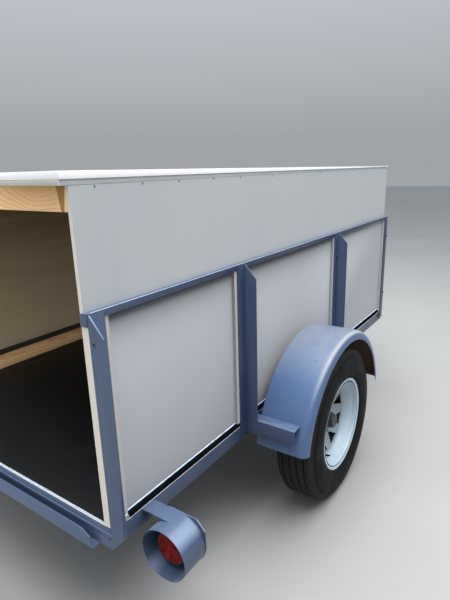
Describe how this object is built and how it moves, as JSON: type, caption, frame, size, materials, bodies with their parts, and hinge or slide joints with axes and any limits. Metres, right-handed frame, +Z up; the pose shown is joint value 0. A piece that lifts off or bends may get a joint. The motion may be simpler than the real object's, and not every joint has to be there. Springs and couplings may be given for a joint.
{
  "type": "utility trailer",
  "caption": "Single axle utility trailer: open-backed plywood box with a roof on a welded angle frame, round fenders, hooded tail lamps, straight tongue and swivel jack.",
  "frame": {"origin": "on the ground, at the middle of the bounding box", "axes": "+X to the trailer's right, +Y forward along the tongue, +Z up"},
  "size_m": [2.094, 3.537, 1.469],
  "materials": {
    "frame_paint": "satin blue-grey paint",
    "panel_paint": "light grey painted plywood",
    "roof_paint": "white painted plywood",
    "floor_board": "black painted plywood, scuffed",
    "pine": "bare pine",
    "lens_red": "deep red",
    "zinc_steel": "zinc plated",
    "running_gear": "black paint",
    "tyre": "dusty black",
    "rim_paint": "white gloss paint",
    "hub_dark": "dark grey"
  },
  "bodies": {
    "chassis": {"axle": "running_gear", "coupler": "zinc_steel", "coupler_latch": "zinc_steel", "cross_member_1": "frame_paint", "cross_member_2": "frame_paint", "cross_member_3": "frame_paint", "fender_left": "frame_paint", "fender_right": "frame_paint", "floor": "floor_board", "floor_runner": "pine", "header_rear": "pine", "lamp_hood_left": "frame_paint", "lamp_hood_right": "frame_paint", "lamp_lens_left": "lens_red", "lamp_lens_right": "lens_red", "lumber_left": "pine", "lumber_right": "pine", "panel_lower_front": "panel_paint", "panel_lower_left": "panel_paint", "panel_lower_right": "panel_paint", "panel_upper_front": "panel_paint", "panel_upper_left": "panel_paint", "panel_upper_right": "panel_paint", "post_front_left": "frame_paint", "post_front_right": "frame_paint", "post_mid_front_left": "frame_paint", "post_mid_front_right": "frame_paint", "post_mid_rear_left": "frame_paint", "post_mid_rear_right": "frame_paint", "post_rear_left": "frame_paint", "post_rear_right": "frame_paint", "rail_bottom_front": "frame_paint", "rail_bottom_left": "frame_paint", "rail_bottom_right": "frame_paint", "rail_top_front": "frame_paint", "rail_top_left": "frame_paint", "rail_top_right": "frame_paint", "ramp_rail": "frame_paint", "roof": "roof_paint", "sill_rear": "frame_paint", "spring_left": "running_gear", "spring_right": "running_gear", "tongue": "frame_paint", "tongue_brace_left": "frame_paint", "tongue_brace_right": "frame_paint"},
    "wheel_left": {"tyre_left": "tyre", "rim_left": "rim_paint", "hub_left": "hub_dark"},
    "wheel_right": {"tyre_right": "tyre", "rim_right": "rim_paint", "hub_right": "hub_dark"},
    "jack_upright": {"jack_tube": "zinc_steel"},
    "jack_inner": {"jack_leg": "zinc_steel"}
  },
  "joints": [
    {"name": "wheel_left_turn", "type": "hinge", "parent": "chassis", "child": "wheel_left", "pos_m": [-0.951, -0.599, 0.342], "axis": [1, 0, 0], "continuous": true},
    {"name": "wheel_right_turn", "type": "hinge", "parent": "chassis", "child": "wheel_right", "pos_m": [0.951, -0.599, 0.342], "axis": [1, 0, 0], "continuous": true},
    {"name": "jack_swivel", "type": "hinge", "parent": "chassis", "child": "jack_upright", "pos_m": [-0.092, 1.296, 0.404], "axis": [1, 0, 0], "range_deg": [0, 90]},
    {"name": "jack_leg_slide", "type": "slide", "parent": "jack_upright", "child": "jack_inner", "axis": [0, 0, 1], "range_m": [-0.12, 0.18]}
  ]
}
